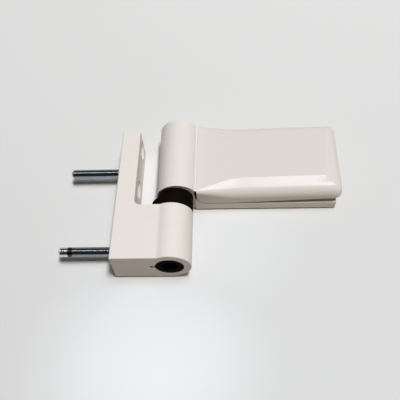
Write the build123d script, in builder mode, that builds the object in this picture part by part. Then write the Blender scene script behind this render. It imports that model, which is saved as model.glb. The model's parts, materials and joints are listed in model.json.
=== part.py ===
# Two-part door hinge, opened to 90 degrees and lying on its side on a table.
# X points from the frame seat towards the leaf, Y runs up the pin and Z is up from the table.
# Pieces are drawn from the pin axis at the lower end of the frame barrel. At the end they all move
# together, so that the origin is on the frame seat, midway between its two screw holes.
import os
from math import atan2, cos, radians, sin, tan

from build123d import *

# Frame part
barrel_radius = 11.0
seat_to_axis = 29.0
block_height = 20.5
flange_thickness = 10.0
frame_length = 80.0
frame_barrel_length = 31.0
frame_bore_radius = 7.25
cutter_radius = 3.0
barrel_root_radius = 4.0
extrusion_corner = 0.4
end_chamfer = 0.25

# Keyway that stops the frame bush turning
key_reach = 1.85
key_bead_radius = 0.9
key_neck = 0.8
key_throat = 4.4

# Frame fixings
frame_screw_radius = 2.75
frame_screw_head_radius = 5.0
first_frame_screw = 47.0
frame_screw_pitch = 27.0
stud_radius = 2.5
stud_reach = 29.5
stud_height = 7.5
stud_shank_radius = 2.0
stud_depth = 8.0
stud_tip_chamfer = 1.1
first_stud = 10.5
stud_pitch = 49.5

# Pin, bushes and adjusters
pin_radius = 4.0
pin_start = 13.0
pin_length = 65.0
pin_chamfer = 0.6
running_clearance = 0.05
press_clearance = 0.02
end_play = 0.2
bush_recess = 0.5
bush_flange_thickness = 5.0
bush_flange_edge = 0.4
height_screw_length = 8.0
socket_across_flats = 4.0
socket_depth = 4.0

# Sash part
axis_offset = 2.4
leaf_gap = 4.4
leaf_length = 46.0
sash_bore_radius = 8.3
plate_thickness = 5.2
plate_end = 88.0
shoulder_inset = 1.5
shoulder_curve = 6.4
leaf_screw_radius = 2.75
leaf_screw_head_radius = 5.0
leaf_screw_spacing_x = 36.0
leaf_screw_spacing_y = 22.0
leaf_fixings_x = 54.0
lock_screw_radius = 1.5
plug_depth = 5.6
plug_wall = 1.6

# Cover cap
cap_gap = 0.4
cap_seam = 0.1
cap_slot = 0.75
cap_lip = 1.2
cap_curve = 5.9
cap_end = 91.0
cap_wall = 1.8
cap_step_at_barrel = 0.05
cap_height_at_dip = 15.9
cap_height_at_end = 17.4
cap_dip = 36.0
cap_bevel = 10.0
cap_bevel_angle = 13.0
cap_edge_radius = 6.5
cap_end_radius = 3.9
cap_bevel_at_barrel = 2.4
cap_edge_radius_at_barrel = 1.4
cap_inner_radius = 0.3
cap_rim_level = 6.0
cap_rim_lift = 3.4
leg_width = 6.0
leg_thickness = 1.6
leg_clearance = 0.15
leg_tip = 0.6
leg_spacing_x = 56.0
leg_spacing_y = 36.0

table = -barrel_radius
seat_x = -seat_to_axis
inner_face_x = seat_x + flange_thickness
block_middle = table + block_height / 2
stud_axis = table + stud_height
flange_end = frame_barrel_length + bush_flange_thickness
collar_start = flange_end + end_play
pin_end = pin_start + pin_length
leaf_start = flange_end + leaf_gap
leaf_end = leaf_start + leaf_length
leaf_middle = leaf_start + leaf_length / 2
plate_top = table + plate_thickness
shoulder_reach = barrel_radius - shoulder_inset
shoulder_x = axis_offset + shoulder_reach
shoulder_top = (barrel_radius ** 2 - shoulder_reach ** 2) ** 0.5
hollow_x = shoulder_x + shoulder_curve
hollow_top = plate_top + shoulder_curve

# Half the turn from a bevel of the cap to its wall, and the leg of a flat that touches a rounding of
# radius 1 halfway along that turn
half_turn = radians(90 - cap_bevel_angle) / 2
inner_flat = (1 - cos(half_turn)) / cos(half_turn) / sin(half_turn)


def square_to_pin(y):
    # Sketch plane across the pin, with its own X to the right and its own Y upwards.
    return Plane.XZ.offset(-y)


def facing_right(x, y, z):
    return Plane((x, y, z), x_dir=(0, 1, 0), z_dir=(1, 0, 0))


def facing_left(x, y, z):
    return Plane((x, y, z), x_dir=(0, 1, 0), z_dir=(-1, 0, 0))


def keyed_bore(clearance):
    # Round bore with a flared throat, a narrow neck and a bead, all smaller by the clearance.
    throat = key_throat / 2 - clearance
    throat_x = (frame_bore_radius ** 2 - throat ** 2) ** 0.5
    neck = key_neck / 2 - clearance
    neck_x = frame_bore_radius + key_neck / 2
    bead_x = frame_bore_radius + key_reach
    with BuildSketch() as outline:
        Circle(frame_bore_radius - clearance)
        with Locations((-bead_x, 0)):
            Circle(key_bead_radius - clearance)
        with BuildLine():
            Polyline(
                (0, throat),
                (-throat_x, throat),
                (-neck_x, neck),
                (-bead_x, neck),
                (-bead_x, -neck),
                (-neck_x, -neck),
                (-throat_x, -throat),
                (0, -throat),
                close=True,
            )
        make_face()
    return outline.sketch


# Frame body: one extrusion, cut back to its flange beyond the barrel
with BuildPart() as frame_body:
    with BuildSketch(square_to_pin(0)) as profile:
        with Locations((seat_x / 2, block_middle)):
            block = Rectangle(seat_to_axis, block_height)
        chamfer(block.vertices().group_by(Axis.X)[0], extrusion_corner)
        Circle(barrel_radius)
        fillet(profile.vertices().group_by(Axis.Y)[-1].sort_by(Axis.X)[-1], barrel_root_radius)
        add(keyed_bore(0), mode=Mode.SUBTRACT)
    extrude(amount=-frame_length)
    with BuildSketch(Plane.XY.offset(table)):
        with Locations((inner_face_x, frame_barrel_length)):
            cut = Rectangle(
                barrel_radius - inner_face_x, frame_length - frame_barrel_length,
                align=(Align.MIN, Align.MIN),
            )
        fillet(cut.vertices().group_by(Axis.X)[0].sort_by(Axis.Y)[0], cutter_radius)
    extrude(amount=2 * barrel_radius, mode=Mode.SUBTRACT)
    chamfer(frame_body.faces().sort_by(Axis.Y)[0].outer_wire().edges(), end_chamfer)
    chamfer(frame_body.faces().sort_by(Axis.Y)[-1].outer_wire().edges(), end_chamfer)
    for i in range(2):
        with Locations(facing_right(inner_face_x, first_frame_screw + i * frame_screw_pitch, block_middle)):
            CounterSinkHole(frame_screw_radius, frame_screw_head_radius, flange_thickness)
    for i in range(2):
        with Locations(facing_left(seat_x, first_stud + i * stud_pitch, stud_axis)):
            CounterSinkHole(stud_shank_radius, stud_radius, stud_depth, counter_sink_angle=90)
frame_body.part.label = "frame_body"

# Studs turned to a cone that seats in the frame body; they enter drilled holes in the door frame
studs = []
for i in range(2):
    stud_y = first_stud + i * stud_pitch
    tip_x = seat_x - stud_reach
    with BuildPart() as stud:
        with BuildSketch(Plane.XY.offset(stud_axis)):
            with BuildLine():
                Polyline(
                    (tip_x, stud_y),
                    (tip_x, stud_y + stud_radius - stud_tip_chamfer),
                    (tip_x + stud_tip_chamfer, stud_y + stud_radius),
                    (seat_x, stud_y + stud_radius),
                    (seat_x + stud_radius - stud_shank_radius, stud_y + stud_shank_radius),
                    (seat_x + stud_depth, stud_y + stud_shank_radius),
                    (seat_x + stud_depth, stud_y),
                    close=True,
                )
            make_face()
        revolve(axis=Axis((0, stud_y, stud_axis), (1, 0, 0)))
    studs.append(stud.part)
studs[0].label = "lower_stud"
studs[1].label = "upper_stud"

# Frame bush: keyed sleeve with the thrust flange that carries the leaf
with BuildPart() as frame_bush:
    with BuildSketch(square_to_pin(bush_recess)):
        add(keyed_bore(running_clearance))
    extrude(amount=bush_recess - frame_barrel_length)
    with BuildSketch(square_to_pin(frame_barrel_length)):
        Circle(barrel_radius)
    extrude(amount=-bush_flange_thickness)
    chamfer(frame_bush.edges().filter_by(GeomType.CIRCLE).group_by(Axis.Y)[-1], bush_flange_edge)
    with BuildSketch(square_to_pin(bush_recess)):
        Circle(pin_radius + press_clearance)
    extrude(amount=bush_recess - flange_end, mode=Mode.SUBTRACT)
frame_bush.part.label = "frame_bush"

# Hinge pin, standing in the frame bush
with BuildPart() as hinge_pin:
    with BuildSketch(square_to_pin(pin_start)):
        Circle(pin_radius)
    extrude(amount=-pin_length)
    chamfer(hinge_pin.edges().filter_by(GeomType.CIRCLE), pin_chamfer)
hinge_pin.part.label = "hinge_pin"

# Height screw under the pin, turned with a hexagon key through the frame bore
with BuildPart() as height_screw:
    with BuildSketch(square_to_pin(pin_start - height_screw_length)):
        Circle(pin_radius)
    extrude(amount=-height_screw_length)
    chamfer(height_screw.edges().filter_by(GeomType.CIRCLE), pin_chamfer)
    with BuildSketch(square_to_pin(pin_start - height_screw_length)):
        RegularPolygon(socket_across_flats / 2, 6, major_radius=False)
    extrude(amount=-socket_depth, mode=Mode.SUBTRACT)
height_screw.part.label = "height_screw"

# Sash body: barrel, hollow shoulder and plate from one extrusion
with BuildPart() as sash_body:
    with BuildSketch(square_to_pin(leaf_start)):
        with BuildLine():
            foot = Line((axis_offset, table), (plate_end, table))
            end = Line(foot @ 1, (plate_end, plate_top))
            top = Line(end @ 1, (hollow_x, plate_top))
            hollow = CenterArc((hollow_x, hollow_top), shoulder_curve, 270, -90)
            shoulder = Line(hollow @ 1, (shoulder_x, shoulder_top))
            back = RadiusArc(shoulder @ 1, (axis_offset - barrel_radius, 0), -barrel_radius)
            RadiusArc(back @ 1, foot @ 0, -barrel_radius)
        make_face()
        with Locations((axis_offset, 0)):
            Circle(sash_bore_radius, mode=Mode.SUBTRACT)
    extrude(amount=-leaf_length)
    chamfer(sash_body.edges().filter_by(Axis.Y).group_by(Axis.X)[-1], extrusion_corner)
    chamfer(sash_body.faces().sort_by(Axis.Y)[0].outer_wire().edges(), end_chamfer)
    chamfer(sash_body.faces().sort_by(Axis.Y)[-1].outer_wire().edges(), end_chamfer)
    with BuildSketch(Plane.XY.offset(table)):
        with Locations((leaf_fixings_x, leaf_middle)):
            with GridLocations(leg_spacing_x, leg_spacing_y, 2, 2):
                Rectangle(leg_width + 2 * leg_clearance, leg_thickness + 2 * leg_clearance)
    extrude(amount=plate_thickness, mode=Mode.SUBTRACT)
    with Locations((leaf_fixings_x, leaf_middle, plate_top)):
        with GridLocations(leaf_screw_spacing_x, leaf_screw_spacing_y, 2, 2):
            CounterSinkHole(leaf_screw_radius, leaf_screw_head_radius, plate_thickness)
    lock_screw_z = (shoulder_top + hollow_top) / 2
    with Locations(facing_right(shoulder_x, leaf_middle, lock_screw_z)):
        Hole(lock_screw_radius, shoulder_reach)
sash_body.part.label = "sash_body"

# Eccentric bush: turning it in the sash barrel presses the door closer to its seal
with BuildPart() as eccentric_bush:
    with BuildSketch(square_to_pin(collar_start)):
        with Locations((axis_offset, 0)):
            Circle(sash_bore_radius - press_clearance)
    extrude(amount=collar_start + plug_depth - leaf_end)
    with BuildSketch(square_to_pin(collar_start)):
        Circle(pin_radius + running_clearance)
    extrude(amount=collar_start - pin_end - end_play, mode=Mode.SUBTRACT)
eccentric_bush.part.label = "eccentric_bush"

# Locking screw that clamps the eccentric bush, hidden by the cap
screw_side = lock_screw_z - lock_screw_radius
screw_tip_x = axis_offset + (sash_bore_radius ** 2 - screw_side ** 2) ** 0.5
with BuildPart() as lock_screw:
    with BuildSketch(facing_right(screw_tip_x, leaf_middle, lock_screw_z)):
        Circle(lock_screw_radius)
    extrude(amount=shoulder_x - screw_tip_x)
lock_screw.part.label = "lock_screw"

# Plug that closes the top of the sash barrel
with BuildPart() as barrel_plug:
    with BuildSketch(square_to_pin(leaf_end)):
        with Locations((axis_offset, 0)):
            Circle(sash_bore_radius - press_clearance)
    extrude(amount=plug_depth)
    with BuildSketch(square_to_pin(leaf_end - plug_depth)):
        with Locations((axis_offset, 0)):
            Circle(sash_bore_radius - plug_wall)
    extrude(amount=plug_wall - plug_depth, mode=Mode.SUBTRACT)
barrel_plug.part.label = "barrel_plug"


def cap_section(crown, bevel, radius, inset):
    # Section across the cap, hung from its crown: flat top, bevels, rounded edges and upright walls.
    # Inside the cap a flat takes the place of the rounding.
    reach = leaf_length / 2 - inset
    drop = (bevel - inset) * tan(radians(cap_bevel_angle)) + inset
    with BuildSketch(crown) as section:
        with BuildLine():
            Polyline(
                (-reach, -cap_height_at_dip),
                (-reach, -drop),
                (bevel - inset - reach, -inset),
                (reach + inset - bevel, -inset),
                (reach, -drop),
                (reach, -cap_height_at_dip),
                close=True,
            )
        make_face()
        edges = section.vertices().group_by(Axis.Y)[1]
        if inset > 0:
            chamfer(edges, inner_flat * radius)
        else:
            fillet(edges, radius)
    return section.sketch


def cap_form(inset):
    # Outside of the cap or, with an inset, the room inside it. The top dips near the barrel, where
    # the bevels run out, and rises again towards the free end.
    rise = cap_height_at_end - cap_height_at_dip
    lean = atan2(rise, cap_end - cap_dip)
    at_barrel = cap_section(
        facing_right(shoulder_x + cap_seam + inset, leaf_middle, shoulder_top - cap_step_at_barrel),
        cap_bevel_at_barrel, max(cap_edge_radius_at_barrel - inset, cap_inner_radius), inset,
    )
    at_dip = cap_section(
        Plane(
            (cap_dip, leaf_middle, table + cap_height_at_dip),
            x_dir=(0, 1, 0), z_dir=(cos(lean), 0, sin(lean)),
        ),
        cap_bevel, cap_edge_radius - inset, inset,
    )
    with BuildPart() as form:
        loft([at_barrel, at_dip], ruled=True)
        extrude(at_dip, amount=(cap_end - cap_dip) / cos(lean) - inset)
    return form.part


# Room under the cap: a slot beside the shoulder, the hollow, then a rim that lifts to the free end
slot_x = shoulder_x + cap_slot
cap_rest = plate_top + cap_gap
lip_level = shoulder_top - cap_step_at_barrel - cap_lip
with BuildPart() as under_cap:
    with BuildSketch(square_to_pin(leaf_start - 1)):
        with BuildLine():
            low = Line((shoulder_x - 1, table - 1), (cap_end + 1, table - 1))
            side = Line(low @ 1, (cap_end + 1, table + cap_rim_level + cap_rim_lift))
            rim = Line(side @ 1, (hollow_x + shoulder_curve, cap_rest))
            run = Line(rim @ 1, (slot_x + cap_curve, cap_rest))
            bend = CenterArc((slot_x + cap_curve, cap_rest + cap_curve), cap_curve, 270, -90)
            riser = Line(bend @ 1, (slot_x, lip_level))
            lip = Line(riser @ 1, (shoulder_x - 1, lip_level))
            Line(lip @ 1, low @ 0)
        make_face()
    extrude(amount=-leaf_length - 2)

# Cover cap: thin moulding over the screws, held by four legs in the plate's slots. Its free end is
# rounded over at the top and at the corners.
cap_outside = cap_form(0)
cap_inside = cap_form(cap_wall)
with BuildPart() as cover_cap:
    add(cap_outside)
    with BuildSketch(square_to_pin(leaf_start)):
        with Locations((cap_end, table)):
            side = Rectangle(cap_end - shoulder_x, cap_height_at_end, align=(Align.MAX, Align.MIN))
        fillet(side.vertices().group_by(Axis.X)[-1].sort_by(Axis.Y)[-1], cap_end_radius)
    extrude(amount=-leaf_length, mode=Mode.INTERSECT)
    with BuildSketch(Plane.XY.offset(table)):
        with Locations((cap_end, leaf_middle)):
            plan = Rectangle(cap_end - shoulder_x, leaf_length, align=(Align.MAX, Align.CENTER))
        fillet(plan.vertices().group_by(Axis.X)[-1], cap_end_radius)
    extrude(amount=cap_height_at_end, mode=Mode.INTERSECT)
    add(cap_inside, mode=Mode.SUBTRACT)
    add(under_cap.part, mode=Mode.SUBTRACT)
    with BuildSketch(Plane.XY.offset(table + leg_tip)):
        with Locations((leaf_fixings_x, leaf_middle)):
            with GridLocations(leg_spacing_x, leg_spacing_y, 2, 2):
                Rectangle(leg_width, leg_thickness)
    extrude(amount=cap_height_at_dip - cap_wall / 2 - leg_tip)
cover_cap.part.label = "cover_cap"

screws_middle = first_frame_screw + frame_screw_pitch / 2
to_seat = Location((seat_to_axis, -screws_middle, -block_middle))
os.makedirs("parts", exist_ok=True)
pieces = [
    frame_body.part, *studs, frame_bush.part, hinge_pin.part, height_screw.part, sash_body.part,
    eccentric_bush.part, lock_screw.part, barrel_plug.part, cover_cap.part,
]
for piece in pieces:
    export_step(piece.moved(to_seat), f"parts/{piece.label}.step")
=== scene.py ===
import json
import math

import bpy
from mathutils import Matrix, Vector

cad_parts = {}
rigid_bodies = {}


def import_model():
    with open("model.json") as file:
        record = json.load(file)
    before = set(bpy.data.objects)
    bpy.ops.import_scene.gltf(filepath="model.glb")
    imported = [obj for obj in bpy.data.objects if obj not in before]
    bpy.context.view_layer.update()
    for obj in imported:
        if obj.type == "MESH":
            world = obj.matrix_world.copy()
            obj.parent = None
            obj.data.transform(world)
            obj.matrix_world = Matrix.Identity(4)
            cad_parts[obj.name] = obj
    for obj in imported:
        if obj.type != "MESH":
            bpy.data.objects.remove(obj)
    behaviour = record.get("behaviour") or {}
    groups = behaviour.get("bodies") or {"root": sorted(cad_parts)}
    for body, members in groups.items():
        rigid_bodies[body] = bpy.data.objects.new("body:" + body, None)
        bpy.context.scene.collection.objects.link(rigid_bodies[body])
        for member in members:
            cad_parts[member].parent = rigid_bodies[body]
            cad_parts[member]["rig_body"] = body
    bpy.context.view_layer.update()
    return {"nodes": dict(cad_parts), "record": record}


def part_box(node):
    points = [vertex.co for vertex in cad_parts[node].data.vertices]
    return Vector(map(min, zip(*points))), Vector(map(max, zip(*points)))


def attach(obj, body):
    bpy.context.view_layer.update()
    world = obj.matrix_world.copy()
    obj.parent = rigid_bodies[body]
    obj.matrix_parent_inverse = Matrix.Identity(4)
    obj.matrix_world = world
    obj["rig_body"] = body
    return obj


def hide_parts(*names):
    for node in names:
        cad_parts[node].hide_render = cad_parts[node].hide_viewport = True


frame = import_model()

nodes = frame["nodes"]
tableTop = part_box("sash_body")[0].z
print("Frame loaded:", len(nodes), "nodes, table at", round(tableTop, 4))


# Shader sockets that can be added and multiplied like numbers

class Value:
    def __init__(self, tree, socket):
        self.tree = tree
        self.socket = socket

    def math(self, operation, *others):
        node = self.tree.nodes.new("ShaderNodeMath")
        node.operation = operation
        for slot, item in zip(node.inputs, (self, *others)):
            feed(self.tree, slot, item)
        return Value(self.tree, node.outputs[0])

    def __add__(self, other):
        return self.math("ADD", other)

    __radd__ = __add__

    def __mul__(self, other):
        return self.math("MULTIPLY", other)

    __rmul__ = __mul__


def feed(tree, slot, item):
    if isinstance(item, Value):
        tree.links.new(item.socket, slot)
    else:
        slot.default_value = item


def mixed(tree, factor, low, high):
    # A colour that runs from low to high with the factor
    mix = tree.nodes.new("ShaderNodeMix")
    mix.data_type = "RGBA"
    for slot, item in zip((0, 6, 7), (factor, low, high)):  # the colour mode's own sockets
        feed(tree, mix.inputs[slot], item)
    return Value(tree, mix.outputs[2])


class Finish:
    # One material: its shader takes numbers and colours, or sockets that vary over the surface
    def __init__(self, name, **settings):
        self.material = bpy.data.materials.new(name)
        self.material.use_nodes = True
        self.tree = self.material.node_tree
        self.shader = self.tree.nodes["Principled BSDF"]
        self.set(**settings)

    def set(self, **settings):
        for name, item in settings.items():
            feed(self.tree, self.shader.inputs[name.replace("_", " ")], item)

    def node(self, kind, settings=None, output=0, **inputs):
        made = self.tree.nodes.new("ShaderNode" + kind)
        for name, item in (settings or {}).items():
            if name == "stops":
                ramp = made.color_ramp
                while len(ramp.elements) < len(item):
                    ramp.elements.new(0.5)
                for element, (place, colour) in zip(ramp.elements, item):
                    element.position = place
                    element.color = colour
            else:
                setattr(made, name, item)
        for name, item in inputs.items():
            feed(self.tree, made.inputs[name.replace("_", " ")], item)
        return Value(self.tree, made.outputs[output])

    def place(self):
        return self.node("TexCoord", output="Object")

    def placeAgainst(self, operation, other):
        # The distance to a fixed place, or the dot product with a fixed direction
        made = self.node("VectorMath", {"operation": operation}, output=1, Vector=self.place())
        feed(self.tree, made.socket.node.inputs[1], other)
        return made

    def noise(self, scale, detail):
        return self.node("TexNoise", Vector=self.place(), Scale=scale, Detail=detail, Roughness=0.5)

    def between(self, factor, low, high):
        # A colour or a number that runs from low to high with the factor
        if isinstance(low, (tuple, Value)):
            return mixed(self.tree, factor, low, high)
        return factor * (high - low) + low

    def share(self, value, start, stop, curve="LINEAR", ends=(0.0, 1.0)):
        # How far a value has come from start to stop
        return self.node("MapRange", {"interpolation_type": curve}, Value=value,
                         From_Min=start, From_Max=stop, To_Min=ends[0], To_Max=ends[1])

    def nearTo(self, place, reach):
        # 1 at a place, falling smoothly to 0 at the reach
        away = self.placeAgainst("DISTANCE", place)
        return self.share(away, 0.0, reach, "SMOOTHERSTEP", (1.0, 0.0))

    def bump(self, height, distance):
        return self.node("Bump", Height=height, Distance=distance, Strength=1.0)


def shaded(colour, share, lift=0.0):
    return tuple(min(1, part * share + lift) for part in colour[:3]) + (1,)


# Finishes: each noise is given as its scale and detail, each spread as what roughness loses and gains

powderCoat = {
    "frameColour": (0.84, 0.78, 0.72, 1),
    "sashColour": (0.835, 0.775, 0.72, 1),
    "specular": 0.5,
    "cloud": (90, 3),
    "cloudShade": 0.965,
    "grain": (1600, 2),
    "grainHeight": 0.000012,
    "roughness": 0.38,
    "spread": (-0.04, 0.06),
}


def coated(name, colour):
    coat = powderCoat
    finish = Finish(name, Specular_IOR_Level=coat["specular"])
    cloud = finish.noise(*coat["cloud"])
    grain = finish.noise(*coat["grain"])
    less, more = coat["spread"]
    finish.set(
        Base_Color=finish.between(cloud, shaded(colour, coat["cloudShade"]), colour),
        Roughness=finish.between(grain, coat["roughness"] + less, coat["roughness"] + more),
        Normal=finish.bump(grain, coat["grainHeight"]),
    )
    return finish.material


plastic = {
    # colour, roughness, scale and height of the grain, index of refraction
    "cap": ((0.765, 0.695, 0.645, 1), 0.2, 2200, 0.000002, 1.5),
    "black": ((0.004, 0.0028, 0.0016, 1), 0.45, 2600, 0.000004, 1.12),
    "bore": ((0.006, 0.0042, 0.0024, 1), 0.5, 2600, 0.000004, 1.045),
    "grainDetail": 3,
    "tint": (140, 2),
    "tintShade": (1.02, 0.0005),
    "spread": (-0.05, 0.08),
}


def moulded(name, kind):
    colour, roughness, grain, height, density = plastic[kind]
    finish = Finish(name, IOR=density)
    fine = finish.noise(grain, plastic["grainDetail"])
    tint = finish.noise(*plastic["tint"])
    less, more = plastic["spread"]
    finish.set(
        Base_Color=finish.between(tint, colour, shaded(colour, *plastic["tintShade"])),
        Roughness=finish.between(fine, roughness + less, roughness + more),
        Normal=finish.bump(fine, height),
    )
    return finish.material


steel = {
    # colour, roughness, shade of the darker patches
    "stud": ((0.37, 0.42, 0.47, 1), 0.16, 0.6),
    "pin": ((0.62, 0.62, 0.63, 1), 0.25, 0.85),
    "patch": (420, 4),
    "spread": (-0.04, 0.05),
    # the lower stud's painted reflection that makes its tip paler and its painted shade ring where a groove
    # would be: where they lie along X, and the stops in that stretch
    "paintedMarkRange": (-0.0295, -0.0195),
    "tip": (0.78, 0.8, 0.8, 1),
    "ring": (0.05, 0.06, 0.07, 1),
    "tipReflectionEnds": (0.0, 0.48),
    "ringShadeEnds": (0.53, 0.72),
    "shankStart": 0.78,
    "shankBlend": (0.74, 0.8),
    "paintedStudSpread": (0.0, 0.12),
}


def turned(name, kind):
    colour, roughness, shade = steel[kind]
    finish = Finish(name, Metallic=1.0)
    patch = finish.noise(*steel["patch"])
    less, more = steel["spread"]
    finish.set(
        Base_Color=finish.between(patch, shaded(colour, shade), colour),
        Roughness=finish.between(patch, roughness + less, roughness + more),
    )
    return finish.material


def paintedTipAndRing(name, kind):
    # Steel with a painted reflection that makes its tip paler, and a ring of painted shade behind it where a
    # groove would be
    colour, roughness, shade = steel[kind]
    finish = Finish(name, Metallic=1.0)
    patch = finish.noise(*steel["patch"])
    along = finish.node("SeparateXYZ", Vector=finish.place())
    reached = finish.share(along, *steel["paintedMarkRange"])
    stops = [(stop, steel["tip"]) for stop in steel["tipReflectionEnds"]]
    stops += [(stop, steel["ring"]) for stop in steel["ringShadeEnds"]] + [(steel["shankStart"], colour)]
    tint = finish.node("ValToRGB", {"stops": stops}, Fac=reached)
    shank = finish.between(patch, shaded(colour, shade), colour)
    less, more = steel["paintedStudSpread"]
    finish.set(
        Base_Color=finish.between(finish.share(reached, *steel["shankBlend"]), tint, shank),
        Roughness=finish.between(patch, roughness + less, roughness + more),
    )
    return finish.material


finishes = {
    "frame_coating": coated("frameCoat", powderCoat["frameColour"]),
    "sash_coating": coated("sashCoat", powderCoat["sashColour"]),
    "cap_plastic": moulded("capPlastic", "cap"),
    "black_plastic": moulded("blackPlastic", "black"),
    "stud_steel": turned("studSteel", "stud"),
    "pin_steel": turned("pinSteel", "pin"),
}
frameBushFinish = moulded("boreBlack", "bore")
# the lower stud's steel, with its painted reflection on the tip and painted shade ring
lowerStudPaintedFinish = paintedTipAndRing("lowerStudPaintedSteel", "stud")
slots = {part["node"]: part["material_slot"] for part in frame["record"]["subparts"]}
for name, slot in slots.items():
    mesh = nodes[name].data
    mesh.materials.clear()
    mesh.materials.append(lowerStudPaintedFinish if name == "lower_stud" else finishes[slot])
print("Finishes given to", len(slots), "nodes")


# Pieces whose looks are finer than the CAD model's

mergeReach = 0.00002
spare = 0.001  # how far a cutter runs past what it cuts


def deselectAll():
    bpy.ops.object.select_all(action="DESELECT")


def pick(item):
    deselectAll()
    item.select_set(True)
    bpy.context.view_layer.objects.active = item


def tidyMesh(item):
    pick(item)
    bpy.ops.object.mode_set(mode="EDIT")
    bpy.ops.mesh.select_all(action="SELECT")
    bpy.ops.mesh.remove_doubles(threshold=mergeReach)
    bpy.ops.mesh.normals_make_consistent(inside=False)
    bpy.ops.object.mode_set(mode="OBJECT")
    return item


def copyOf(name):
    item = nodes[name].copy()
    item.data = nodes[name].data.copy()
    item.name = name + "Look"
    for key in list(item.keys()):  # the node's own marks don't belong on a new piece
        del item[key]
    item.parent = None
    item.matrix_world = nodes[name].matrix_world.copy()
    bpy.context.scene.collection.objects.link(item)
    pick(item)
    bpy.ops.mesh.customdata_custom_splitnormals_clear()
    return tidyMesh(item)


def boxBetween(low, high):
    deselectAll()
    middle, size = (Vector(low) + Vector(high)) / 2, Vector(high) - Vector(low)
    bpy.ops.mesh.primitive_cube_add(size=1, location=middle, scale=size)
    return bpy.context.object


def barAlongY(radius, length, place, corners):
    deselectAll()
    bpy.ops.mesh.primitive_cylinder_add(vertices=corners, radius=radius, depth=length, location=place,
                                        rotation=(math.pi / 2, 0, 0))
    return bpy.context.object


def solidFrom(name, points, faces):
    mesh = bpy.data.meshes.new(name)
    mesh.from_pydata([tuple(point) for point in points], [], faces)
    item = bpy.data.objects.new(name, mesh)
    bpy.context.scene.collection.objects.link(item)
    return tidyMesh(item)


def prism(name, outline, low, high):
    # A solid that runs along Y, with the outline given as X and Z
    count = len(outline)
    points = [(x, y, z) for y in (low, high) for x, z in outline]
    faces = [tuple(range(count)), tuple(reversed(range(count, 2 * count)))]
    faces += [(at, (at + 1) % count, (at + 1) % count + count, at + count) for at in range(count)]
    return solidFrom(name, points, faces)


def combine(item, other, operation):
    pick(item)
    step = item.modifiers.new("step", "BOOLEAN")
    step.operation = operation
    step.solver = "EXACT"
    step.object = other
    bpy.ops.object.modifier_apply(modifier="step")
    bpy.data.objects.remove(other, do_unlink=True)


def standIn(item, name, angle):
    # Gives a finished piece its origin, finish and shading, and puts it in the place of its CAD node
    pick(item)
    bpy.ops.object.transform_apply(location=True, rotation=True, scale=True)
    bpy.ops.object.shade_smooth_by_angle(angle=angle)
    item.data.materials.clear()
    item.data.materials.append(finishes[slots[name]])
    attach(item, nodes[name]["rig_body"])
    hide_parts(name)


# Cover cap: rings around the near side, the free end and the far side, from the wall up to the crease

coverCap = {
    "start": 0.04182, "end": 0.1197, "near": -0.0201, "far": 0.0259, "foot": -0.011,
    "wall": 0.0018,
    "dip": 0.0615, "dipReach": 0.004,
    # value at the dip, its rise per length before the dip and after it
    "top": (0.00565, -0.029, 0.026),
    "bevel": (0.0095, 0.413, 0.003),
    "edgeRadius": (0.0054, 0.2, 0.0),
    "bevelAngle": 0.2269,
    "farShare": 0.55,  # width of the far side's bevel beside the near side's
    "insideShare": 0.88,  # how much narrower the bevel is inside, beside the wall's thickness
    "cornerRadii": (0.0045, 0.0045),
    "leastWidth": 0.0006, "leastRadius": 0.0003,
    "roundestEdge": 1.2,  # largest edge radius beside the bevel's width
    "sideSteps": 20, "endSteps": 6, "roundSteps": 12, "cornerSteps": 14, "slotSteps": 12,
    "rim": 0.0536, "rimRest": -0.00465, "rimEnd": (0.121, -0.00085),
    "slot": 0.0416, "slotCurve": 0.0059, "lip": 0.0057,
    "cutStart": 0.0405, "cutFoot": -0.012,
    "legs": ((0.055, 0.111), (-0.0151, 0.0209)),
    "legSize": (0.006, 0.0016), "legRange": (-0.00965, 0.0046),
    "smoothAngle": 0.16,
}


def alongCap(x, values, inset):
    # A value that changes its rise smoothly at the dip
    value, before, after = values
    reach, away = coverCap["dipReach"], x - coverCap["dip"]
    if abs(away) < reach:
        return value + (after - before) * (away + reach) ** 2 / (4 * reach) + before * away - inset
    return value + (after if away > 0 else before) * away - inset


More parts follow.
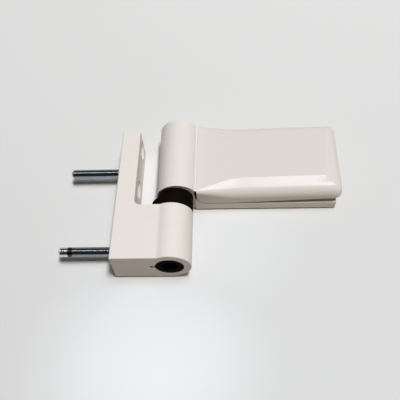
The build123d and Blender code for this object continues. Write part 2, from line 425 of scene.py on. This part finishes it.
def capSolid(name, inset):
    cap = coverCap
    x0, x1 = cap["start"] + inset, cap["end"] - inset
    near, far = cap["near"] + inset, cap["far"] - inset
    slope = math.tan(cap["bevelAngle"])
    widest = alongCap(x1, cap["bevel"], inset * cap["insideShare"])
    stop = x1 - widest
    sideSteps, endSteps = cap["sideSteps"], cap["endSteps"]
    sides = [x0 + (cap["dip"] + cap["dipReach"] - x0) * step / sideSteps for step in range(sideSteps + 1)]
    sides += [sides[-1] + (stop - sides[-1]) * step / endSteps for step in range(1, endSteps)]
    ends = [(near + widest + (far - near - 2 * widest) * step / endSteps, step / endSteps)
            for step in range(1, endSteps)]
    # how far round the edge a ring lies, then how far up the bevel
    levels = [(level / cap["roundSteps"], 0.0) for level in range(cap["roundSteps"] + 1)]
    levels += [(1.0, 0.5), (1.0, 1.0)]

    def section(x, level, share=0):
        # how far in and how high a ring runs; share is 0 for the near side's bevel and 1 for the far side's
        x = min(x, stop)
        narrowing = 1 - (1 - cap["farShare"]) * share
        width = max(alongCap(x, cap["bevel"], inset * cap["insideShare"]) * narrowing, cap["leastWidth"])
        radius = min(alongCap(x, cap["edgeRadius"], inset), width * cap["roundestEdge"])
        radius = max(radius, cap["leastRadius"])
        turn, run = level
        angle = math.pi / 2 - (math.pi / 2 - cap["bevelAngle"]) * turn
        flat = radius * (1 - math.sin(cap["bevelAngle"]))
        middle = alongCap(x, cap["top"], inset) - (width - flat) * slope - radius * math.cos(cap["bevelAngle"])
        inward = radius * (1 - math.sin(angle)) + (width - flat) * run
        return inward, middle + radius * math.cos(angle) + (width - flat) * slope * run

    def ring(level, foot=None):
        points = []
        for x in sides:
            inward, height = section(x, level)
            points.append((x, near + inward, height))
        for corner, (side, turn) in enumerate(((near, 1), (far, -1))):
            inward, height = section(stop, level, corner)
            radius = max(cap["cornerRadii"][corner] - inset, cap["leastRadius"])
            away, bend = max(radius, inward), max(radius - inward, 0.0)
            for step in range(cap["cornerSteps"] + 1):
                part = step / cap["cornerSteps"] * math.pi / 2
                part = part if corner == 0 else math.pi / 2 - part
                across = away - bend * math.cos(part)
                points.append((x1 - away + bend * math.sin(part), side + turn * across, height))
            if corner == 0:
                for y, share in ends:
                    inward, height = section(stop, level, share)
                    points.append((x1 - inward, y, height))
        for x in reversed(sides):
            inward, height = section(x, level, 1)
            points.append((x, far - inward, height))
        return [(x, y, z if foot is None else foot) for x, y, z in points]

    rings = [ring(levels[0], cap["foot"])] + [ring(level) for level in levels]
    count = len(rings[0])
    points = [point for loop in rings for point in loop]
    faces = []
    for row in range(len(rings) - 1):
        for at in range(count - 1):
            low, high = row * count + at, (row + 1) * count + at
            faces.append((low, low + 1, high + 1, high))
    faces.append(tuple(reversed(range(count))))  # the underside
    top = (len(rings) - 1) * count
    for at in range(len(sides) - 1):
        faces.append((top + at, top + at + 1, top + count - 2 - at, top + count - 1 - at))
    faces.append(tuple(range(top + len(sides) - 1, top + count - len(sides) + 1)))
    # the end beside the barrel, up the near side and down the far side
    faces.append(tuple([row * count for row in range(len(rings))]
                       + [row * count + count - 1 for row in reversed(range(len(rings)))]))
    return solidFrom(name, points, faces)


def buildCap():
    cap = coverCap
    item = capSolid("coverCapLook", 0.0)
    combine(item, capSolid("inside", cap["wall"]), "DIFFERENCE")
    # room for the plate: the rim that lifts to the free end, the curve, then the slot beside the barrel
    outline = [(cap["rimEnd"][0], cap["cutFoot"]), cap["rimEnd"], (cap["rim"], cap["rimRest"])]
    curve = cap["slotCurve"]
    middle = (cap["slot"] + curve, cap["rimRest"] + curve)
    for step in range(cap["slotSteps"] + 1):
        part = step / cap["slotSteps"] * math.pi / 2
        outline.append((middle[0] - curve * math.sin(part), middle[1] - curve * math.cos(part)))
    outline += [(cap["slot"], cap["lip"]), (cap["cutStart"], cap["lip"])]
    outline += [(cap["cutStart"], cap["cutFoot"])]
    combine(item, prism("underCap", outline, cap["near"] - spare, cap["far"] + spare), "DIFFERENCE")
    (wide, thick), (low, high) = cap["legSize"], cap["legRange"]
    for x in cap["legs"][0]:
        for y in cap["legs"][1]:
            leg = boxBetween((x - wide / 2, y - thick / 2, low), (x + wide / 2, y + thick / 2, high))
            combine(item, leg, "UNION")
    standIn(item, "cover_cap", cap["smoothAngle"])
    return item


print("Cover cap built:", len(buildCap().data.polygons), "faces")


# Lower end of the sash barrel, with the bushes that show beside it and in the frame's bore

barrelEnd = {
    "axis": (0.0303, 0.00075), "leaf": -0.0201, "relief": 0.0008, "shoulder": 0.0409,
    "cutStart": 0.015, "cutFoot": -0.012, "cutTop": 0.013,
    # groove under the edge that meets the cap, as X and Z, then that edge's lowest and highest corner
    "groove": ((0.0403, 0.0058), (0.0412, 0.0058), (0.0412, -0.002), (0.0409, -0.0006), (0.0403, 0.0018)),
    "grooveEnd": 0.027,
    "edge": ((0.0395, -0.01925, 0.00574), (0.04175, 0.02585, 0.00622)),
    "collarStart": -0.02422, "collarRadius": 0.0097, "collarBore": 0.0065,
    "collarEdge": 0.0004, "collarEdgeSteps": 3,
    "collarCorners": 96, "boreCorners": 64, "cutterLength": 1.5,  # the last beside the collar's length
    "boreEnd": -0.0600, "boreReach": 0.0001, "boreShift": -0.00045,
    "sashAngle": 0.35, "bushAngle": 0.5,
}


def buildBarrelEnd():
    ends = barrelEnd
    sash = copyOf("sash_body")
    start, before = ends["leaf"] + ends["relief"], ends["leaf"] - spare
    low, high = (ends["cutStart"], before, ends["cutFoot"]), (ends["shoulder"], start, ends["cutTop"])
    combine(sash, boxBetween(low, high), "DIFFERENCE")
    combine(sash, prism("groove", ends["groove"], before, ends["grooveEnd"]), "DIFFERENCE")
    combine(sash, boxBetween(*ends["edge"]), "UNION")
    standIn(sash, "sash_body", ends["sashAngle"])

    bush = copyOf("eccentric_bush")
    length = start - ends["collarStart"]
    place = (ends["axis"][0], ends["collarStart"] + length / 2, ends["axis"][1])
    collar = barAlongY(ends["collarRadius"], length, place, ends["collarCorners"])
    edge = collar.modifiers.new("edge", "BEVEL")
    edge.width, edge.segments = ends["collarEdge"], ends["collarEdgeSteps"]
    bpy.ops.object.modifier_apply(modifier="edge")
    bore = barAlongY(ends["collarBore"], length * ends["cutterLength"], place, ends["boreCorners"])
    combine(collar, bore, "DIFFERENCE")
    combine(bush, collar, "UNION")
    standIn(bush, "eccentric_bush", ends["bushAngle"])

    # the frame bush comes forward until it is nearly flush with the bore's lip
    sleeve = copyOf("frame_bush")
    for point in sleeve.data.vertices:
        if point.co.y < ends["boreEnd"] + ends["boreReach"]:
            point.co.y += ends["boreShift"]
    standIn(sleeve, "frame_bush", ends["bushAngle"])
    sleeve.data.materials[0] = frameBushFinish
    return sash, bush, sleeve


print("Barrel end built:", [len(item.data.polygons) for item in buildBarrelEnd()])


# Table, lamps and camera

studio = {
    # the table as seen, lit and in painted shade: darker towards the front and a little towards the right,
    # along this lean and over this band
    "tableLitAndShaded": ((0.835, 0.825, 0.815, 1), (0.71, 0.7, 0.69, 1)),
    "tableShadeLean": Vector((0.2, -0.9, 0.0)),
    "tableShadeBand": (-0.2, 0.12),
    # pale colour of the painted reflection of a lamp on the table
    "paintedReflectionColour": (0.885, 0.895, 0.905, 1),
    # what the table sends back as painted bounce light: darker and browner away from the hinge and by the
    # plate for painted shade, paler beside the flange for painted light on its wall
    "bounceColours": ((0.44, 0.36, 0.29, 1), (0.62, 0.52, 0.42, 1), (0.9, 0.88, 0.85, 1)),
    "bounceBand": (-0.05, -0.02),
    "bouncePlace": Vector((0.009, 0.006, 0.0)),
    "bounceReach": 0.02,
    # where the painted reflection lies on the table, and how far it reaches
    "paintedReflectionPlace": Vector((0.02, -0.105, 0.0)),
    "paintedReflectionReach": 0.08,
    # a painted pool of light on the table round the hinge: where it lies, how far it reaches and how strong it
    # is beside the painted reflection
    "paintedPoolPlace": Vector((0.04, -0.03, 0.0)),
    "paintedPoolReach": 0.09,
    "paintedPoolShare": 0.42,
    "tableRoughness": 0.4,
    "tableSpecular": 0.3,
    "tableSize": 3.0,
    "tableGap": 0.001,
    "aim": Vector((0.045, -0.0205, 0.0)),
    "away": 2.0,
    # name: direction towards the lamp, width and depth, power, colour,
    # and whether gloss and diffuse surfaces see it
    "lamps": {
        "mainLamp": (Vector((0.21, -0.1, 1.0)), (0.24, 0.5), 31.2, (1.0, 1.0, 1.0), (False, True)),
        "glossLamp": (Vector((0.2, 0.15, 1.0)), (0.85, 0.4), 8.6, (0.82, 0.91, 1.0), (True, True)),
        "ceilingLamp": (Vector((-0.32, 0.05, 1.0)), (0.7, 0.2), 2.2, (1.0, 1.0, 1.0), (True, False)),
        "wallLamp": (Vector((0.0, 1.0, 0.4)), (2.4, 1.2), 3.2, (1.0, 0.88, 0.68), (True, True)),
        "sideLamp": (Vector((1.0, 0.1, 0.5)), (1.4, 0.8), 0.4, (1.0, 1.0, 1.0), (True, True)),
    },
    "roomColour": (0.038, 0.037, 0.033, 1),
    "backColour": (0.6, 0.61, 0.62, 1),
    "cameraPlace": Vector((0.05741, -0.17515, 0.2397)),
    "cameraRight": Vector((0.9987, 0.0142, -0.0487)),
    "cameraUp": Vector((0.0145, 0.8410, 0.5408)),
    "cameraLens": 47.78,
    "cameraSensor": 36,
    "cameraClip": 0.01,
}


def facing(right, up, place):
    # The placing of something whose own X runs along right, with its Y as near to up as that allows
    right = right.normalized()
    up = (up - right * up.dot(right)).normalized()
    return Matrix.Translation(place) @ Matrix((right, up, right.cross(up))).transposed().to_4x4()


def buildStage():
    deselectAll()
    place = (0, 0, tableTop - studio["tableGap"])
    bpy.ops.mesh.primitive_plane_add(size=studio["tableSize"], location=place)
    table = bpy.context.object
    table.name = "table"
    finish = Finish("tableTop", Roughness=studio["tableRoughness"],
                    Specular_IOR_Level=studio["tableSpecular"])
    # as the camera and mirrors see it: a painted reflection of a lamp as a pale patch in front, a painted pool
    # of light round the hinge, and painted shade that darkens the table towards the front
    paintedLight = finish.nearTo(studio["paintedReflectionPlace"], studio["paintedReflectionReach"])
    # the painted pool of light round the hinge, joined with the painted reflection
    paintedPool = finish.nearTo(studio["paintedPoolPlace"], studio["paintedPoolReach"]) * studio["paintedPoolShare"]
    paintedLight = paintedLight.math("MAXIMUM", paintedPool)
    # painted shade that darkens the table towards the front and a little towards the right
    paintedTableShade = finish.share(finish.placeAgainst("DOT_PRODUCT", studio["tableShadeLean"]), *studio["tableShadeBand"])
    seenColour = finish.between(paintedLight, finish.between(paintedTableShade, *studio["tableLitAndShaded"]), studio["paintedReflectionColour"])
    # as it lights the hinge, with the painted bounce light
    bounce = finish.nearTo(studio["bouncePlace"], studio["bounceReach"])
    depth = finish.node("SeparateXYZ", output=1, Vector=finish.place())
    band = finish.share(depth, *studio["bounceBand"], "SMOOTHSTEP")
    outside, byPlate, byFlange = studio["bounceColours"]
    bounceColour = finish.between(bounce, finish.between(band, outside, byPlate), byFlange)
    rays = [finish.node("LightPath", output=number) for number in (0, 3, 6)]  # camera, glossy, transmission
    seen = rays[0] + rays[1] + rays[2]
    finish.set(Base_Color=finish.between(seen, bounceColour, seenColour))
    table.data.materials.append(finish.material)


def buildLamps():
    for name, (lean, size, power, colour, seen) in studio["lamps"].items():
        lamp = bpy.data.lights.new(name, "AREA")
        lamp.shape = "RECTANGLE"
        lamp.size, lamp.size_y = size
        lamp.energy = power
        lamp.color = colour
        holder = bpy.data.objects.new(name, lamp)
        lean = lean.normalized()
        across = (Vector((1, 0, 0)) - lean * lean.x).normalized()
        holder.matrix_world = facing(across, lean.cross(across), studio["aim"] + lean * studio["away"])
        holder.visible_glossy, holder.visible_diffuse = seen
        bpy.context.scene.collection.objects.link(holder)


def buildRoom():
    # The room lights the hinge a little, and the camera sees it pale
    world = bpy.data.worlds.new("room")
    world.use_nodes = True
    tree = world.node_tree
    path = tree.nodes.new("ShaderNodeLightPath")
    colour = mixed(tree, Value(tree, path.outputs[0]), studio["roomColour"], studio["backColour"])
    feed(tree, tree.nodes["Background"].inputs["Color"], colour)
    bpy.context.scene.world = world


def buildCamera():
    camera = bpy.data.cameras.new("camera")
    camera.lens = studio["cameraLens"]
    camera.sensor_width = studio["cameraSensor"]
    camera.clip_start = studio["cameraClip"]
    holder = bpy.data.objects.new("camera", camera)
    holder.matrix_world = facing(studio["cameraRight"], studio["cameraUp"], studio["cameraPlace"])
    bpy.context.scene.collection.objects.link(holder)
    bpy.context.scene.camera = holder


buildStage()
buildLamps()
buildRoom()
buildCamera()
bpy.context.scene.view_settings.view_transform = "Standard"
print("Stage, lamps, room and camera in place")
